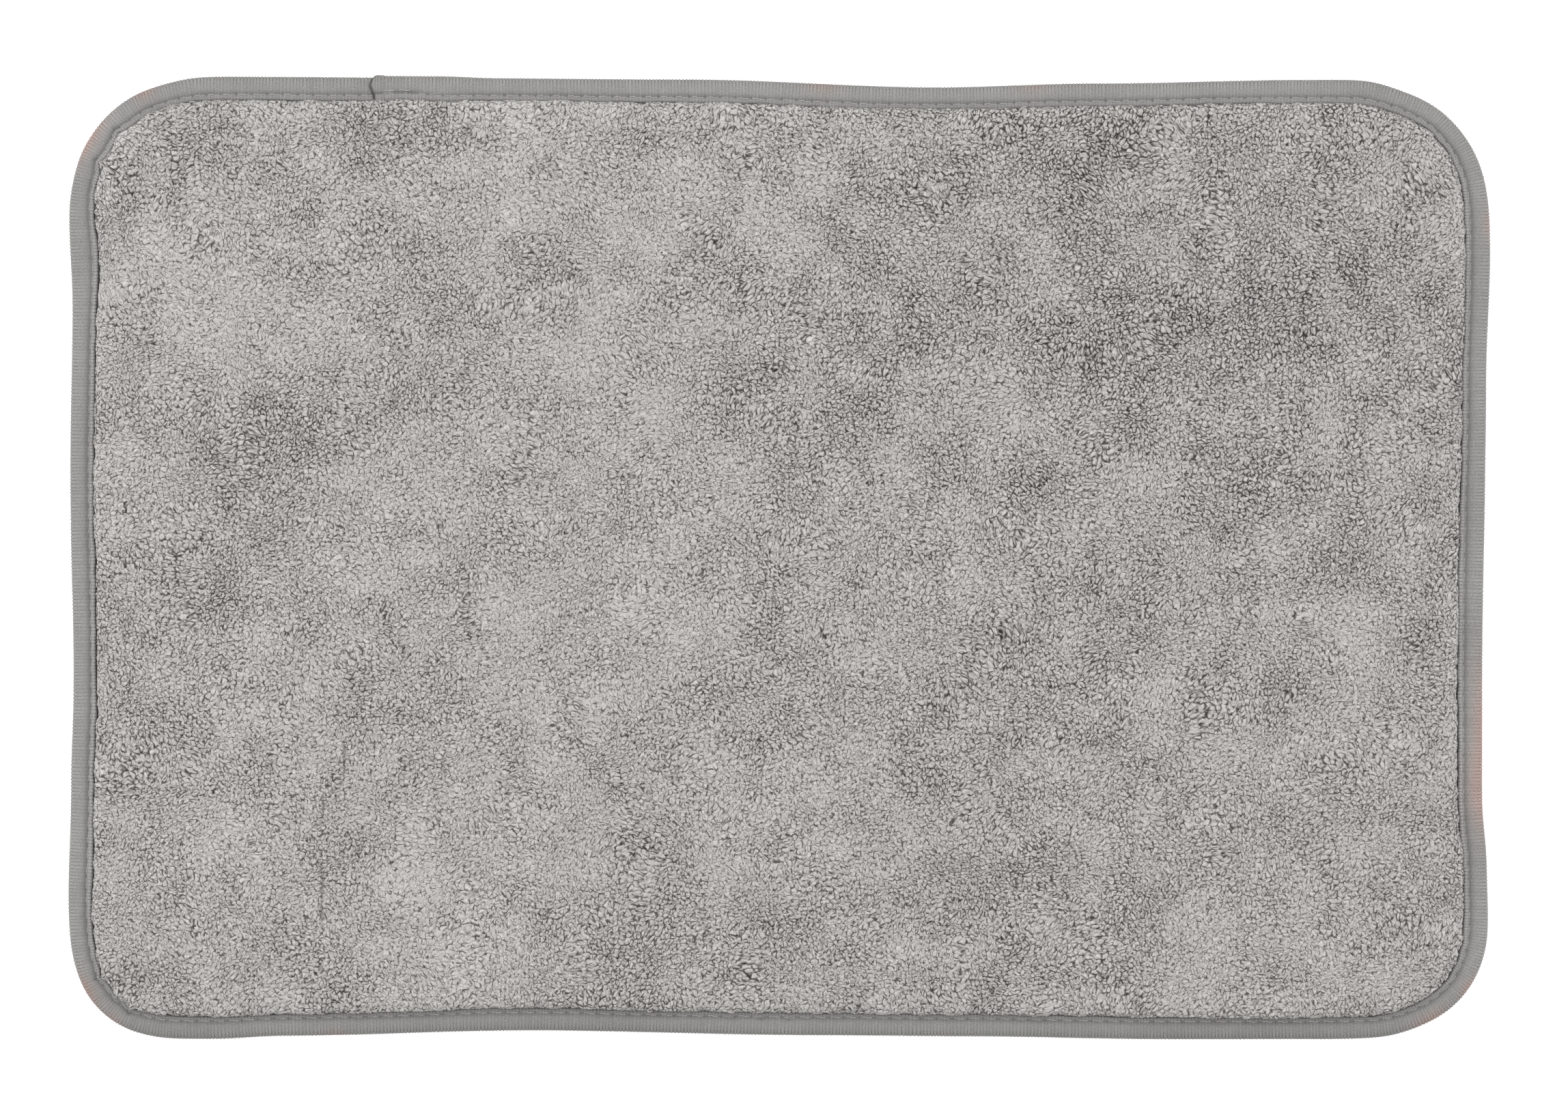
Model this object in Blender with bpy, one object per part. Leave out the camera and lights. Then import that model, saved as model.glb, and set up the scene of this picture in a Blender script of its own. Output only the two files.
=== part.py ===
"""A bound bath mat, about 60 x 41 cm, lying flat.

From the floor up it is a layer of anti-slip dots, a backing fabric, a foam core, the knitted ground
of the face fabric and the pile on it. All the layers but the dots run on into the edge, where they are
pressed flat and held by a ribbed tape, folded over them and sewn down with one lockstitch seam. The
tape is one strip: it starts on the far long side, goes once round the mat, and its end laps over its
own start.

Frame: +X along the mat, +Y across it, +Z up, with the origin on the floor under the middle.
"""

import math

import bmesh
import bpy
from mathutils import Vector

MM = 0.001

# The mat's outline.
LENGTH = 600 * MM
WIDTH = 407 * MM
RADIUS_FAR_LEFT = 56 * MM
RADIUS_FAR_RIGHT = 58 * MM
RADIUS_NEAR_RIGHT = 48 * MM
RADIUS_NEAR_LEFT = 43 * MM
# How far each soft edge draws in from its straight line: (place along the side, inset), in mm.
FAR_DRAW = ((-237, 0.6), (-142, 1.2), (-38, 1.8), (66, 5.2), (135, 3.5), (222, 2.0))
NEAR_DRAW = ((-237, 0.1), (-211, 1.4), (-107, 3.7), (14, 1.7), (83, 1.2), (161, 0.0))
LEFT_DRAW = ((-145, 0.0), (-96, 1.1), (-53, 2.2), (33, 0.8), (107, 1.7), (143, 0.3))
RIGHT_DRAW = ((-151, 0.9), (-131, 1.4), (-102, 3.4), (-53, 3.3), (71, 1.7), (129, 0.0))
STATION_STEP = 20 * MM
ARC_STEPS = 6

# The tape, and where its end laps over its start.
TAPE_THICKNESS = 0.45 * MM
LAP_GAP = 0.3 * MM
LAP_X = -144.5 * MM
LAP_LENGTH = 27.5 * MM
LAP_PIECES = 3
RAMP_LENGTH = 24 * MM
RAMP_PIECES = 3
# The outside of the folded tape, from its lower edge round the fold to its upper edge: (inset, height).
SEAM_INSET = 7.9
TAPE_PROFILE = (
    (10.4, 1.3),
    (SEAM_INSET, 1.55),
    (4.5, 1.05),
    (1.2, 1.75),
    (0.0, 3.7),
    (1.2, 5.75),
    (4.2, 6.6),
    (SEAM_INSET, 5.3),
    (10.7, 5.9),
)
LOWER_SEAM_HEIGHT = 1.55 * MM
UPPER_SEAM_HEIGHT = 5.3 * MM

# The layers, each a list of rings (inset, height) in mm from the middle of its underside, out round its
# rim and back to the middle of its top. EDGE is where they end inside the tape, PRESSED the width held
# flat by it, and FULL where they reach their full thickness.
EDGE = 1.6
PRESSED = 12.0
FULL = 20.0
BACKING_RINGS = (
    (FULL, 1.1),
    (PRESSED, 2.3),
    (EDGE, 2.3),
    (EDGE, 2.65),
    (PRESSED, 2.65),
    (FULL, 1.45),
)
FOAM_RINGS = (
    (FULL, 1.75),
    (PRESSED, 2.95),
    (EDGE, 2.95),
    (EDGE, 3.6),
    (PRESSED, 3.6),
    (FULL, 6.0),
)
GROUND_RINGS = (
    (FULL, 6.3),
    (PRESSED, 3.9),
    (EDGE, 3.9),
    (EDGE, 4.4),
    (PRESSED, 4.4),
    (FULL, 6.8),
)
PILE_RINGS = (
    (FULL, 7.1),
    (PRESSED + 0.2, 4.8),
    (PRESSED + 0.2, 8.0),
    (14.5, 10.8),
    (18.0, 12.0),
)
DOTS_INSET = 22 * MM
DOTS_HEIGHT = 0.8 * MM

THREAD_RADIUS = 0.2 * MM
THREAD_GAP = 0.3 * MM


def clear_scene():
    for obj in list(bpy.data.objects):
        bpy.data.objects.remove(obj)


def make_material(name, colour, roughness):
    material = bpy.data.materials.new(name)
    material.use_nodes = True
    shader = material.node_tree.nodes["Principled BSDF"]
    shader.inputs["Base Color"].default_value = (*colour, 1.0)
    shader.inputs["Roughness"].default_value = roughness
    shader.inputs["Metallic"].default_value = 0.0
    return material


def drawn_in(points, place):
    """The inset at a place along a side, on a smooth curve through the side's points."""
    place_mm = place / MM
    if place_mm <= points[0][0]:
        return points[0][1] * MM
    for (x0, inset0), (x1, inset1) in zip(points, points[1:]):
        if place_mm <= x1:
            share = (place_mm - x0) / (x1 - x0)
            share = share * share * (3 - 2 * share)
            return (inset0 + (inset1 - inset0) * share) * MM
    return points[-1][1] * MM


def spaced(start, end, step=STATION_STEP):
    """Places from start up to but not including end, evenly spaced about a step apart."""
    count = max(1, round(abs(end - start) / step))
    return [start + (end - start) * i / count for i in range(count)]


def side_stations(places, fixed, along_x, inward, draw):
    """(point, inward normal) at each place of one straight side, drawn in as the soft edge is."""
    stations = []
    for place in places:
        point = Vector((place, fixed, 0)) if along_x else Vector((fixed, place, 0))
        stations.append((point + inward * drawn_in(draw, place), inward))
    return stations


def arc_stations(centre, radius, start_angle, inset_before, inset_after):
    """(point, inward normal) round one corner, a quarter turn to the left from start_angle."""
    stations = []
    for i in range(ARC_STEPS):
        share = i / ARC_STEPS
        angle = start_angle + share * math.pi / 2
        outward = Vector((math.cos(angle), math.sin(angle), 0))
        inset = inset_before + (inset_after - inset_before) * share
        stations.append((centre + outward * (radius - inset), -outward))
    return stations


def make_stations():
    """One turn round the mat, anticlockwise from the start of the tape."""
    half_x, half_y = LENGTH / 2, WIDTH / 2
    far, near = Vector((0, -1, 0)), Vector((0, 1, 0))
    left, right = Vector((1, 0, 0)), Vector((-1, 0, 0))
    left_far_y, left_near_y = half_y - RADIUS_FAR_LEFT, -half_y + RADIUS_NEAR_LEFT
    right_far_y, right_near_y = half_y - RADIUS_FAR_RIGHT, -half_y + RADIUS_NEAR_RIGHT
    far_left_x, far_right_x = -half_x + RADIUS_FAR_LEFT, half_x - RADIUS_FAR_RIGHT
    near_left_x, near_right_x = -half_x + RADIUS_NEAR_LEFT, half_x - RADIUS_NEAR_RIGHT
    lap_end = LAP_X - LAP_LENGTH
    ramp_start = LAP_X + RAMP_LENGTH

    turn = side_stations(
        spaced(LAP_X, lap_end, LAP_LENGTH / LAP_PIECES) + spaced(lap_end, far_left_x),
        half_y, True, far, FAR_DRAW)
    turn += arc_stations(
        Vector((far_left_x, left_far_y, 0)), RADIUS_FAR_LEFT, math.pi / 2,
        drawn_in(FAR_DRAW, far_left_x), drawn_in(LEFT_DRAW, left_far_y))
    turn += side_stations(spaced(left_far_y, left_near_y), -half_x, False, left, LEFT_DRAW)
    turn += arc_stations(
        Vector((near_left_x, left_near_y, 0)), RADIUS_NEAR_LEFT, math.pi,
        drawn_in(LEFT_DRAW, left_near_y), drawn_in(NEAR_DRAW, near_left_x))
    turn += side_stations(spaced(near_left_x, near_right_x), -half_y, True, near, NEAR_DRAW)
    turn += arc_stations(
        Vector((near_right_x, right_near_y, 0)), RADIUS_NEAR_RIGHT, -math.pi / 2,
        drawn_in(NEAR_DRAW, near_right_x), drawn_in(RIGHT_DRAW, right_near_y))
    turn += side_stations(spaced(right_near_y, right_far_y), half_x, False, right, RIGHT_DRAW)
    turn += arc_stations(
        Vector((far_right_x, right_far_y, 0)), RADIUS_FAR_RIGHT, 0.0,
        drawn_in(RIGHT_DRAW, right_far_y), drawn_in(FAR_DRAW, far_right_x))
    turn += side_stations(
        spaced(far_right_x, ramp_start)
        + spaced(ramp_start, LAP_X, RAMP_LENGTH / RAMP_PIECES),
        half_y, True, far, FAR_DRAW)
    return turn


def at(station, inset, height):
    point, inward = station
    return point + inward * inset + Vector((0, 0, height))


def finish_mesh(name, mesh_builder, material, collection):
    """Closes a bmesh into a shaded object of its own."""
    bmesh.ops.recalc_face_normals(mesh_builder, faces=mesh_builder.faces)
    mesh = bpy.data.meshes.new(name)
    mesh_builder.to_mesh(mesh)
    mesh_builder.free()
    mesh.shade_smooth()
    mesh.set_sharp_from_angle(angle=math.radians(35))
    mesh.materials.append(material)
    obj = bpy.data.objects.new(name, mesh)
    collection.objects.link(obj)
    return obj


def bridge(builder, first, second, closed):
    """A band of four-sided faces between two rows of vertices."""
    count = len(first) if closed else len(first) - 1
    for i in range(count):
        j = (i + 1) % len(first)
        builder.faces.new((first[i], first[j], second[j], second[i]))


def make_layer(name, rings, stations, material, collection):
    """A soft layer: one ring of the outline after another, each at its inset and height, capped flat."""
    builder = bmesh.new()
    rows = [
        [builder.verts.new(at(station, inset * MM, height * MM)) for station in stations]
        for inset, height in rings
    ]
    for first, second in zip(rows, rows[1:]):
        bridge(builder, first, second, closed=True)
    builder.faces.new(rows[0])
    builder.faces.new(rows[-1])
    return finish_mesh(name, builder, material, collection)


def offset_profile(distance):
    """The tape's profile moved towards the mat's inside by a distance, as (inset, height) in metres."""
    points = [Vector((inset * MM, height * MM)) for inset, height in TAPE_PROFILE]
    moved = []
    for i, point in enumerate(points):
        before, after = points[max(i - 1, 0)], points[min(i + 1, len(points) - 1)]
        along = (after - before).normalized()
        moved.append(point + Vector((along.y, -along.x)) * distance)
    return moved


def make_tape(stations, material, collection):
    """The folded tape: a turn round the mat, with a ramp up and a lap over its own start."""
    lift = TAPE_THICKNESS + LAP_GAP
    ramp = [lift * i / (RAMP_PIECES - 1) for i in range(RAMP_PIECES)]
    lap = stations[: LAP_PIECES + 1]
    route = stations[:-RAMP_PIECES] + stations[-RAMP_PIECES:] + lap
    lifts = [0.0] * (len(stations) - RAMP_PIECES) + ramp + [lift] * len(lap)

    builder = bmesh.new()
    sections = []
    for station, raised in zip(route, lifts):
        outside = offset_profile(-raised)
        inside = offset_profile(TAPE_THICKNESS - raised)
        outline = outside + inside[::-1]
        sections.append([builder.verts.new(at(station, p.x, p.y)) for p in outline])
    for first, second in zip(sections, sections[1:]):
        bridge(builder, first, second, closed=True)
    builder.faces.new(sections[0])
    builder.faces.new(sections[-1])
    return finish_mesh("binding_tape", builder, material, collection)


def make_thread(name, stations, height, lap_lift, material, collection):
    """One thread of the seam, a closed round of it that rides over the lap."""
    lapped = LAP_PIECES + 2
    count = len(stations)
    curve = bpy.data.curves.new(name, "CURVE")
    curve.dimensions = "3D"
    curve.bevel_depth = THREAD_RADIUS
    curve.bevel_resolution = 1
    spline = curve.splines.new("POLY")
    spline.points.add(count - 1)
    spline.use_cyclic_u = True
    for i, (station, point) in enumerate(zip(stations, spline.points)):
        on_lap = i < lapped or i >= count - RAMP_PIECES
        place = at(station, SEAM_INSET * MM, height + (lap_lift if on_lap else 0.0))
        point.co = (*place, 1.0)
    curve.materials.append(material)
    obj = bpy.data.objects.new(name, curve)
    collection.objects.link(obj)
    return obj


def make_dots(stations, material, collection):
    """The space that the anti-slip dots fill, a thin flat slab under the backing."""
    curve = bpy.data.curves.new("anti_slip_dots", "CURVE")
    curve.dimensions = "2D"
    curve.fill_mode = "BOTH"
    curve.extrude = DOTS_HEIGHT / 2
    spline = curve.splines.new("POLY")
    spline.points.add(len(stations) - 1)
    spline.use_cyclic_u = True
    for station, point in zip(stations, spline.points):
        point.co = (*at(station, DOTS_INSET, 0.0), 1.0)
    curve.materials.append(material)
    obj = bpy.data.objects.new("anti_slip_dots", curve)
    obj.location.z = DOTS_HEIGHT / 2
    collection.objects.link(obj)
    return obj


def main():
    clear_scene()
    collection = bpy.data.collections.new("bath_mat")
    bpy.context.scene.collection.children.link(collection)

    pile = make_material("pile_fleece", (0.42, 0.41, 0.395), 0.95)
    ground = make_material("ground_knit", (0.34, 0.33, 0.32), 0.95)
    foam = make_material("foam", (0.80, 0.78, 0.70), 0.9)
    backing = make_material("backing_fabric", (0.30, 0.30, 0.30), 0.9)
    dots = make_material("anti_slip_pvc", (0.12, 0.12, 0.12), 0.5)
    tape = make_material("ribbed_tape", (0.31, 0.305, 0.295), 0.8)
    thread = make_material("sewing_thread", (0.42, 0.42, 0.41), 0.6)

    stations = make_stations()
    make_dots(stations, dots, collection)
    make_layer("backing_fabric", BACKING_RINGS, stations, backing, collection)
    make_layer("foam_core", FOAM_RINGS, stations, foam, collection)
    make_layer("pile_ground", GROUND_RINGS, stations, ground, collection)
    make_layer("pile", PILE_RINGS, stations, pile, collection)
    make_tape(stations, tape, collection)

    lift = TAPE_THICKNESS + LAP_GAP
    clearance = THREAD_GAP + THREAD_RADIUS
    make_thread(
        "needle_thread", stations, UPPER_SEAM_HEIGHT + clearance, lift, thread, collection)
    make_thread(
        "bobbin_thread", stations, LOWER_SEAM_HEIGHT - clearance, -lift, thread, collection)


main()
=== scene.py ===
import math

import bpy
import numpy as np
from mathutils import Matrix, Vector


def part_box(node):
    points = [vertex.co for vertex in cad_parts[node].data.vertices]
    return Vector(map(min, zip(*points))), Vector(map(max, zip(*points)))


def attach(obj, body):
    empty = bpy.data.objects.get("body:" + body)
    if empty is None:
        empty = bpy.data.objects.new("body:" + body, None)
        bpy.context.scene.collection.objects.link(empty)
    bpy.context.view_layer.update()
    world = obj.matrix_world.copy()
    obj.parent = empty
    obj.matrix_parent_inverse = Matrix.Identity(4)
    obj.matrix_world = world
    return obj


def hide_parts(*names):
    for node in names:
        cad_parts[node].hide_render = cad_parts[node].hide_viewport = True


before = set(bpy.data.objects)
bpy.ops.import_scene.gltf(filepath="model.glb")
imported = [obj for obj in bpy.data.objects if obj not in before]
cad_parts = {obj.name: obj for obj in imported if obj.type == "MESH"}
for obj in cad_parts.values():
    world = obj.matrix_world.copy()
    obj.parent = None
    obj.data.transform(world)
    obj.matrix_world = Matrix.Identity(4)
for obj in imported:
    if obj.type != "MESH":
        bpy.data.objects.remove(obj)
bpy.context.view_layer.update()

# A bound bath mat, lying flat and seen from straight above.
#
# Lengths are in millimetres in this file, up to where a mesh is made. The mat's edge is one closed
# line, and every soft layer, the tape and the threads are placed by how far along it and how far in
# from it they are. Each profile is a list of (inset, height): how far in from the edge, and how far
# above the floor.

MM = 0.001
TAPE_LOW, TAPE_HIGH = (np.array(corner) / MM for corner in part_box("binding_tape"))
HALF_LENGTH = TAPE_HIGH[0]
HALF_WIDTH = -TAPE_LOW[1]
PILE_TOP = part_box("pile")[1][2] / MM
DOTS_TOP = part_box("anti_slip_dots")[1][2] / MM

# How far each soft side of the outline draws in from its straight line, as (place along it, inset).
FAR_DRAW = ((-237, 0.6), (-142, 1.2), (-38, 1.8), (66, 5.2), (135, 3.5), (222, 2.0))
NEAR_DRAW = ((-237, 0.1), (-211, 1.4), (-107, 3.7), (14, 1.7), (83, 1.2), (161, 0.0))
LEFT_DRAW = ((-145, 0.0), (-96, 1.1), (-53, 2.2), (33, 0.8), (107, 1.7), (143, 0.3))
RIGHT_DRAW = ((-151, 0.9), (-131, 1.4), (-102, 3.4), (-53, 3.3), (71, 1.7), (129, 0.0))
# The corners, anticlockwise from the far left, as (radius, its sides along x and y, where its arc
# starts, the draw of the side before it and of the one after).
CORNERS = (
    (56, -1, 1, 90, FAR_DRAW, LEFT_DRAW), (43, -1, -1, 180, LEFT_DRAW, NEAR_DRAW),
    (48, 1, -1, 270, NEAR_DRAW, RIGHT_DRAW), (58, 1, 1, 0, RIGHT_DRAW, FAR_DRAW),
)
# Where a corner is flatter than its arc, as (x, y, how much further in, reach).
CORNER_TRIMS = (
    (-259, 201, 1.0, 14), (-299, 159, 0.4, 10), (-298, -170, 1.0, 15), (-265, -201, 0.4, 10),
    (268, -199, 1.4, 19), (263, 199, 1.0, 14), (299, 152, 0.5, 12),
)
OUTLINE_STEP = 0.25
OUTLINE_SMOOTHING = 400

# The tape: it starts at LAP_X on the far side, goes round anticlockwise, and laps over its own start.
LAP_X = -144.5
LAP_LENGTH = 27.5
RAMP_LENGTH = 24.0
TAPE_THICKNESS = 0.45
LAP_LIFT = 0.75
RIB_PITCH = 1.42
RIB_STEPS = 4
# The flat strip's width, and over how much of it the seam's shape fades into the inner edge's.
STRIP_FADE = 1.6
TAPE_EDGE_INSET = 10.85
# The seam, and the heights of its groove below and above.
SEAM_INSET = 7.9
SEAM_LOW = 1.55
SEAM_HIGH = 5.15
STITCH_PITCH = 6.5
TAPE_PROFILE = (
    (10.4, 1.35), (9.2, 1.3), (8.4, 1.4), (SEAM_INSET, SEAM_LOW), (7.4, 1.4), (6.3, 1.1), (4.5, 1.0),
    (2.6, 1.2), (1.1, 1.85), (0.3, 2.75), (0.0, 3.7), (0.25, 4.7), (0.95, 5.55), (2.2, 6.2), (4.0, 6.5),
    (5.8, 6.4), (7.0, 5.95), (SEAM_INSET, SEAM_HIGH), (8.7, 5.75), (9.4, 5.95), (10.1, 5.95),
    (10.6, 5.7), (TAPE_EDGE_INSET, 5.2),
)
# How many points the strip's section has on its outer face, and on its inner one.
TAPE_ACROSS = 34
INNER_ACROSS = 10

# The soft layers' profiles, from the middle of the underside round the rim to the middle of the top.
BACKING_PROFILE = ((20, 1.1), (12, 2.3), (1.6, 2.3), (1.6, 2.65), (12, 2.65), (20, 1.45))
FOAM_PROFILE = ((20, 1.75), (12, 2.95), (1.6, 2.95), (1.6, 3.6), (12, 3.6), (20, 6.0))
GROUND_PROFILE = ((20, 6.3), (12, 3.9), (1.6, 3.9), (1.6, 4.4), (12, 4.4), (20, 6.8))
PILE_PROFILE = (
    (12.4, 4.8), (11.6, 5.9), (11.0, 7.0), (10.85, 8.0), (11.1, 9.0), (11.8, 10.1), (13.2, 11.0),
    (15.5, 11.6), (18.5, 11.9), (21.5, PILE_TOP),
)
# A layer's rim moves in and out with the seam up to here, and less and less beyond.
RIM_INSET = 12.0
RIM_FADE = 9.0
PILE_STEP = 0.5
LAYER_STEP = 3.0

THREAD_RADIUS = 0.2
THREAD_STEP = 0.32
PLY_TURN = 2.4
END_BOW = 1.7
LAP_SLIP = 0.9
BACK_STITCHES = 14.0
DOT_PITCH = 7.5
DOT_RADIUS = 1.3
DOT_SIDES = 8
DOTS_INSET = 23.5

# The picture: how much of its width the mat fills, and how far off its middle the mat lies.
CAMERA_HEIGHT = 2200.0
MAT_SHARE_OF_WIDTH = 0.9052
CAMERA_X = 2.0
CAMERA_Y = 1.3
SENSOR_WIDTH = 36.0
FLOOR_SIZE = 12.0
FLOOR_GAP = 0.0002
FLOOR_GLOW = 0.42
WORLD_STRENGTH = 0.5
# The soft lights, as (name, location in m, size in m, power in W).
LIGHTS = (
    ("far_key", (-0.2, 2.1, 1.7), 1.4, 14.0), ("left_fill", (-2.0, 0.1, 1.1), 1.6, 22.0),
    ("right_fill", (2.0, 0.1, 1.1), 1.6, 19.0), ("overhead", (0.0, 0.5, 2.7), 1.6, 26.0),
)

# The colours, as linear red, green and blue.
PILE_COLOUR = (0.468, 0.455, 0.438)
# The warmer colour of the pile's painted shade.
PILE_SHADE_COLOUR = (0.484, 0.450, 0.423)
TAPE_COLOUR = (0.268, 0.264, 0.256)
BLUSH_COLOUR = (0.355, 0.250, 0.222)
THREAD_COLOUR = (0.46, 0.452, 0.44)
KNIT_COLOUR = (0.20, 0.196, 0.19)
FOAM_COLOUR = (0.80, 0.78, 0.70)
BACKING_COLOUR = (0.25, 0.25, 0.25)
DOTS_COLOUR = (0.085, 0.085, 0.088)
FLOOR_COLOUR = (0.93, 0.93, 0.93, 1.0)
WHITE = (1.0, 1.0, 1.0, 1.0)

NOISE_TABLE = 128
MAP_MARGIN = 15
HIDDEN_MAP_SHARE = 0.05
MAP_ROW_FILL = 0.9


# ---------------- the outline

def smooth_between(points, place):
    """The value at each place, on a smooth curve through (place, value) points."""
    places, values = np.array(points, dtype=float).T
    i = np.clip(np.searchsorted(places, place, side="right") - 1, 0, len(places) - 2)
    share = np.clip((place - places[i]) / (places[i + 1] - places[i]), 0.0, 1.0)
    return values[i] + (values[i + 1] - values[i]) * eased(share)


def eased(share):
    return share * share * (3 - 2 * share)


def smoothstep(low, high, value):
    return eased(np.clip((value - low) / (high - low), 0.0, 1.0))


def bump(value, width):
    """1 at zero, falling smoothly to nothing over about twice the width."""
    return np.exp(-((value / width) ** 2))


def make_outline():
    """The mat's edge, anticlockwise from the start of the tape, as a table of evenly spaced points."""
    def run(start, end):
        return np.linspace(start, end, max(2, int(abs(end - start))), endpoint=False)

    def arc(centre, radius, start, inset_before, inset_after):
        share = run(0, 90) / 90
        angle = np.radians(start + 90 * share)
        reach = radius - (inset_before + (inset_after - inset_before) * share)
        return np.stack([centre[0] + reach * np.cos(angle), centre[1] + reach * np.sin(angle)], 1)

    def side(places, draw, sign, along_x):
        """A side's points, each drawn in from the side's straight line."""
        fixed = sign * ((HALF_WIDTH if along_x else HALF_LENGTH) - smooth_between(draw, places))
        return np.stack([places, fixed] if along_x else [fixed, places], 1)

    runs = []
    start = LAP_X
    for radius, x_side, y_side, angle, before, after in CORNERS:
        centre = (x_side * (HALF_LENGTH - radius), y_side * (HALF_WIDTH - radius))
        along_x = before in (FAR_DRAW, NEAR_DRAW)
        end, next_start = centre if along_x else centre[::-1]
        runs.append(side(run(start, end), before, y_side if along_x else x_side, along_x))
        insets = smooth_between(before, end), smooth_between(after, next_start)
        runs.append(arc(centre, radius, angle, *insets))
        start = next_start
    runs.append(side(run(start, LAP_X), FAR_DRAW, 1, True))
    points = resample(np.concatenate(runs), OUTLINE_STEP)
    for _ in range(OUTLINE_SMOOTHING):
        points = (np.roll(points, 1, 0) + 2 * points + np.roll(points, -1, 0)) / 4
    points = resample(points, OUTLINE_STEP)
    trim = sum(
        depth * bump(np.hypot(points[:, 0] - x, points[:, 1] - y), reach)
        for x, y, depth, reach in CORNER_TRIMS)
    points = points + inward_of(points) * trim[:, None]
    inward = inward_of(points)
    step = np.linalg.norm(np.roll(points, -1, 0) - points, axis=1)
    return {
        "place": np.concatenate([[0.0], np.cumsum(step)[:-1]]),
        "length": step.sum(),
        "point": points,
        "inward": inward,
    }


def inward_of(points):
    """The inward direction at each point of a closed anticlockwise line."""
    tangent = np.roll(points, -1, 0) - np.roll(points, 1, 0)
    tangent /= np.linalg.norm(tangent, axis=1)[:, None]
    return np.stack([-tangent[:, 1], tangent[:, 0]], 1)


def reach_along(points):
    """How far along a line each of its points is."""
    return np.concatenate([[0.0], np.cumsum(np.linalg.norm(np.diff(points, axis=0), axis=1))])


def read_line(at, place, points, period=None):
    """Points of a flat line at some places along it."""
    return np.stack([np.interp(at, place, points[:, i], period=period) for i in (0, 1)], -1)


def resample(points, step):
    """A closed line's points, evenly spaced about a step apart."""
    closed = np.concatenate([points, points[:1]])
    place = reach_along(closed)
    even = np.linspace(0, place[-1], int(round(place[-1] / step)), endpoint=False)
    return read_line(even, place, closed)


OUTLINE = make_outline()
TURN = OUTLINE["length"]


def on_outline(place):
    """The edge's points and inward directions at each place along it."""
    return tuple(
        read_line(place, OUTLINE["place"], OUTLINE[table], TURN) for table in ("point", "inward"))


def place_near(x, y):
    """The place along the edge nearest to a point."""
    return OUTLINE["place"][np.argmin(np.hypot(*(OUTLINE["point"] - (x, y)).T))]


def place_facing(x, y):
    """The place along the edge where it faces outwards in a direction."""
    return OUTLINE["place"][np.argmin(OUTLINE["inward"] @ np.array([x, y]))]


# ---------------- random fields

def grain(x, y, size, seed):
    """A smooth random field from -1 to 1, whose spots are about a size across."""
    table = np.random.default_rng(seed).uniform(-1, 1, (NOISE_TABLE, NOISE_TABLE)).astype(np.float32)
    column, row = np.floor(x / size), np.floor(y / size)
    u, v = eased(x / size - column), eased(y / size - row)
    i, j = column.astype(int) % NOISE_TABLE, row.astype(int) % NOISE_TABLE
    i_next, j_next = (i + 1) % NOISE_TABLE, (j + 1) % NOISE_TABLE
    lower = table[j, i] * (1 - u) + table[j, i_next] * u
    upper = table[j_next, i] * (1 - u) + table[j_next, i_next] * u
    return lower * (1 - v) + upper * v


def cloud(x, y, size, seed, octaves=3):
    """A random field with finer spots on coarse ones."""
    total = sum(grain(x, y, size / 2 ** k, seed + k) / 2 ** k for k in range(octaves))
    return total / sum(1 / 2 ** k for k in range(octaves))


def wander(place, size, seed):
    """A smooth random line along the edge, which meets itself after a turn."""
    spots = max(4, int(round(TURN / size)))
    values = np.random.default_rng(seed).uniform(-1, 1, spots)
    at = (np.asarray(place) / TURN % 1.0) * spots
    i = np.floor(at).astype(int) % spots
    share = eased(at - np.floor(at))
    return values[i] * (1 - share) + values[(i + 1) % spots] * share


# ---------------- meshes

def curve_through(points, count):
    """A smooth curve through (inset, height) points, evenly spaced."""
    points = np.array(points, dtype=float)
    padded = np.concatenate([[2 * points[0] - points[1]], points, [2 * points[-1] - points[-2]]])
    fine = []
    share = np.linspace(0, 1, 24, endpoint=False)[:, None]
    for a, b, c, d in zip(padded, padded[1:], padded[2:], padded[3:]):
        fine.append(0.5 * (
            2 * b + (c - a) * share + (2 * a - 5 * b + 4 * c - d) * share ** 2
            + (3 * b - a - 3 * c + d) * share ** 3))
    fine = np.concatenate(fine + [points[-1:]])
    place = reach_along(fine)
    even = np.linspace(0, place[-1], count)
    return read_line(even, place, fine)


def profile_normals(profile):
    """The outward direction of a profile at each of its points, as (inset, height)."""
    along = np.gradient(profile, axis=0)
    normal = np.stack([-along[:, 1], along[:, 0]], 1)
    return normal / np.linalg.norm(normal, axis=1)[:, None]


def linked(name, data):
    """A new object in the scene."""
    obj = bpy.data.objects.new(name, data)
    bpy.context.scene.collection.objects.link(obj)
    return obj


def mesh_object(name, points, faces, material, fields=None, bake_map=None):
    """An object from points in mm and lists of faces, each an array with a row for each face."""
    mesh = bpy.data.meshes.new(name)
    mesh.vertices.add(len(points))
    mesh.vertices.foreach_set("co", np.ascontiguousarray(points * MM, dtype=np.float32).ravel())
    corners = np.concatenate([group.ravel() for group in faces])
    sizes = np.concatenate([np.full(len(group), group.shape[1]) for group in faces])
    starts = np.concatenate([[0], np.cumsum(sizes)[:-1]])
    mesh.loops.add(len(corners))
    mesh.loops.foreach_set("vertex_index", corners.astype(np.int32))
    mesh.polygons.add(len(sizes))
    mesh.polygons.foreach_set("loop_start", starts.astype(np.int32))
    mesh.update(calc_edges=True)
    for field, values in (fields or {}).items():
        kind, key = ("FLOAT", "value") if values.ndim == 1 else ("FLOAT_VECTOR", "vector")
        mesh.attributes.new(field, kind, "POINT").data.foreach_set(
            key, values.astype(np.float32).ravel())
    if bake_map is not None:
        mesh.uv_layers.new(name="OFBake").data.foreach_set(
            "uv", bake_map.astype(np.float32).ravel())
    mesh.shade_smooth()
    mesh.materials.append(material)
    obj = linked(name, mesh)
    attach(obj, "root")
    return obj


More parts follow.
